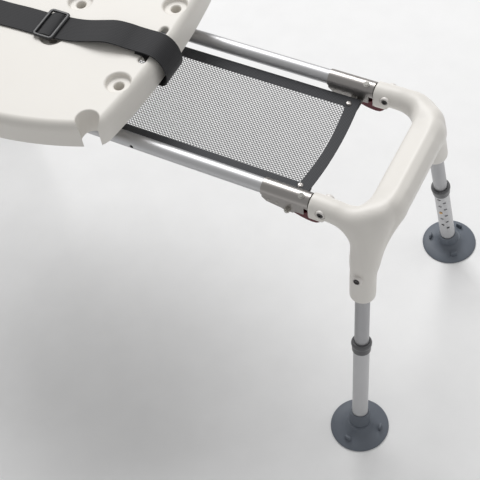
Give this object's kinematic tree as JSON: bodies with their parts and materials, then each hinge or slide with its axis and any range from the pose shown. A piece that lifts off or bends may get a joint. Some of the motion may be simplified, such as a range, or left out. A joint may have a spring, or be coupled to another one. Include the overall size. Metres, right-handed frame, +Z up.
{
  "type": "sliding bath transfer bench",
  "caption": "Bath transfer bench with a belted swivel seat that slides on two rails, snap-latched end frames, telescoping legs and suction feet.",
  "frame": {"origin": "on the floor under the middle of the bench, midway between the end frames", "axes": "+X along the rails, +Z up, -Y is the front, where the seat locks are worked"},
  "size_m": [1.183, 0.56, 0.6174],
  "materials": {
    "frame_plastic": "fine satin moulding",
    "seat_plastic": "fine leather-grain moulding",
    "rail_aluminium": "satin anodised",
    "stainless": "brushed",
    "zinc_steel": "zinc plated",
    "cap_plastic": "moulded caps over steel bolts",
    "net_fabric": "woven net with taped border",
    "upper_leg_aluminium": "satin anodised",
    "lower_leg_coat": "pale satin",
    "collar_plastic": "moulded",
    "foot_rubber": "matt rubber",
    "button_brass": "polished",
    "latch_red": "moulded",
    "carriage_plastic": "moulded nylon",
    "glide_plastic": "low-friction liner",
    "black_plastic": "moulded",
    "belt_webbing": "woven webbing"
  },
  "bodies": {
    "bench_frame": {"rail_front": "rail_aluminium", "rail_rear": "rail_aluminium", "rail_bracket_left_front": "stainless", "rail_bracket_left_rear": "stainless", "rail_bracket_right_front": "stainless", "rail_bracket_right_rear": "stainless", "spigot_tubes": "zinc_steel", "end_frame_left": "frame_plastic", "end_frame_right": "frame_plastic", "frame_bolts": "cap_plastic", "latch_pins": "stainless", "latch_studs": "zinc_steel", "bracket_rivets": "stainless", "bracket_screws": "zinc_steel", "net_panel": "net_fabric", "net_clips": "stainless", "net_screws": "zinc_steel", "upper_leg_tube_left_front": "upper_leg_aluminium", "upper_leg_tube_left_rear": "upper_leg_aluminium", "upper_leg_tube_right_front": "upper_leg_aluminium", "upper_leg_tube_right_rear": "upper_leg_aluminium"},
    "lower_leg_left_front": {"lower_leg_tube_left_front": "lower_leg_coat", "leg_collar_left_front": "collar_plastic", "suction_foot_left_front": "foot_rubber"},
    "button_left_front": {"snap_button_left_front": "button_brass"},
    "latch_left_front": {"latch_lever_left_front": "latch_red"},
    "lower_leg_left_rear": {"lower_leg_tube_left_rear": "lower_leg_coat", "leg_collar_left_rear": "collar_plastic", "suction_foot_left_rear": "foot_rubber"},
    "button_left_rear": {"snap_button_left_rear": "button_brass"},
    "latch_left_rear": {"latch_lever_left_rear": "latch_red"},
    "lower_leg_right_front": {"lower_leg_tube_right_front": "lower_leg_coat", "leg_collar_right_front": "collar_plastic", "suction_foot_right_front": "foot_rubber"},
    "button_right_front": {"snap_button_right_front": "button_brass"},
    "latch_right_front": {"latch_lever_right_front": "latch_red"},
    "lower_leg_right_rear": {"lower_leg_tube_right_rear": "lower_leg_coat", "leg_collar_right_rear": "collar_plastic", "suction_foot_right_rear": "foot_rubber"},
    "button_right_rear": {"snap_button_right_rear": "button_brass"},
    "latch_right_rear": {"latch_lever_right_rear": "latch_red"},
    "seat_carriage": {"seat_carriage": "carriage_plastic", "carriage_glides": "glide_plastic", "turntable_base_plate": "zinc_steel", "turntable_lower_race": "zinc_steel", "slide_lock_housing": "zinc_steel", "swivel_lever_pin": "zinc_steel"},
    "seat": {"seat": "seat_plastic", "swivel_plate": "zinc_steel", "seat_screws": "zinc_steel", "turntable_upper_race": "zinc_steel", "belt_right": "belt_webbing", "belt_left": "belt_webbing", "belt_slider": "black_plastic", "buckle_socket": "black_plastic", "buckle_tongue": "black_plastic"},
    "slide_lock": {"slide_lock_pin": "zinc_steel", "slide_lock_knob": "black_plastic"},
    "swivel_lever": {"swivel_lever": "zinc_steel", "swivel_lock_tooth": "zinc_steel"}
  },
  "joints": [
    {"name": "seat_slide", "type": "slide", "parent": "bench_frame", "child": "seat_carriage", "axis": [1, 0, 0], "range_m": [0, 0.345], "deforming": ["slide_lock_pin"]},
    {"name": "seat_swivel", "type": "hinge", "parent": "seat_carriage", "child": "seat", "pos_m": [-0.164, 0, 0.547], "axis": [0, 0, 1], "continuous": true, "deforming": ["swivel_lock_tooth"]},
    {"name": "slide_lock_pull", "type": "slide", "parent": "seat_carriage", "child": "slide_lock", "axis": [0, -1, 0], "range_m": [0, 0.0055], "stiffness_N_per_m": 800, "springref_m": -0.003},
    {"name": "swivel_lever_lift", "type": "hinge", "parent": "seat_carriage", "child": "swivel_lever", "pos_m": [-0.164, -0.112, 0.546], "axis": [-1, 0, 0], "range_deg": [0, 6], "stiffness_Nm_per_rad": 2, "springref_deg": -5.73},
    {"name": "leg_height_left_front", "type": "slide", "parent": "bench_frame", "child": "lower_leg_left_front", "axis": [-0.054, -0.1864, -0.981], "range_m": [-0.0625, 0.05], "deforming": ["snap_button_left_front"]},
    {"name": "snap_button_press_left_front", "type": "slide", "parent": "bench_frame", "child": "button_left_front", "axis": [0.0102, -0.9825, 0.1861], "range_m": [0, 0.0035], "stiffness_N_per_m": 600, "springref_m": -0.002},
    {"name": "latch_release_left_front", "type": "hinge", "parent": "bench_frame", "child": "latch_left_front", "pos_m": [-0.436, -0.1274, 0.484], "axis": [0, 1, 0], "range_deg": [0, 25], "stiffness_Nm_per_rad": 0.5, "springref_deg": -11.46},
    {"name": "leg_height_left_rear", "type": "slide", "parent": "bench_frame", "child": "lower_leg_left_rear", "axis": [-0.054, 0.1864, -0.981], "range_m": [-0.0625, 0.05], "deforming": ["snap_button_left_rear"]},
    {"name": "snap_button_press_left_rear", "type": "slide", "parent": "bench_frame", "child": "button_left_rear", "axis": [0.0102, 0.9825, 0.1861], "range_m": [0, 0.0035], "stiffness_N_per_m": 600, "springref_m": -0.002},
    {"name": "latch_release_left_rear", "type": "hinge", "parent": "bench_frame", "child": "latch_left_rear", "pos_m": [-0.436, 0.1274, 0.484], "axis": [0, 1, 0], "range_deg": [0, 25], "stiffness_Nm_per_rad": 0.5, "springref_deg": -11.46},
    {"name": "leg_height_right_front", "type": "slide", "parent": "bench_frame", "child": "lower_leg_right_front", "axis": [0.054, -0.1864, -0.981], "range_m": [-0.0625, 0.05], "deforming": ["snap_button_right_front"]},
    {"name": "snap_button_press_right_front", "type": "slide", "parent": "bench_frame", "child": "button_right_front", "axis": [-0.0102, -0.9825, 0.1861], "range_m": [0, 0.0035], "stiffness_N_per_m": 600, "springref_m": -0.002},
    {"name": "latch_release_right_front", "type": "hinge", "parent": "bench_frame", "child": "latch_right_front", "pos_m": [0.436, -0.1274, 0.484], "axis": [0, -1, 0], "range_deg": [0, 25], "stiffness_Nm_per_rad": 0.5, "springref_deg": -11.46},
    {"name": "leg_height_right_rear", "type": "slide", "parent": "bench_frame", "child": "lower_leg_right_rear", "axis": [0.054, 0.1864, -0.981], "range_m": [-0.0625, 0.05], "deforming": ["snap_button_right_rear"]},
    {"name": "snap_button_press_right_rear", "type": "slide", "parent": "bench_frame", "child": "button_right_rear", "axis": [-0.0102, 0.9825, 0.1861], "range_m": [0, 0.0035], "stiffness_N_per_m": 600, "springref_m": -0.002},
    {"name": "latch_release_right_rear", "type": "hinge", "parent": "bench_frame", "child": "latch_right_rear", "pos_m": [0.436, 0.1274, 0.484], "axis": [0, -1, 0], "range_deg": [0, 25], "stiffness_Nm_per_rad": 0.5, "springref_deg": -11.46}
  ]
}
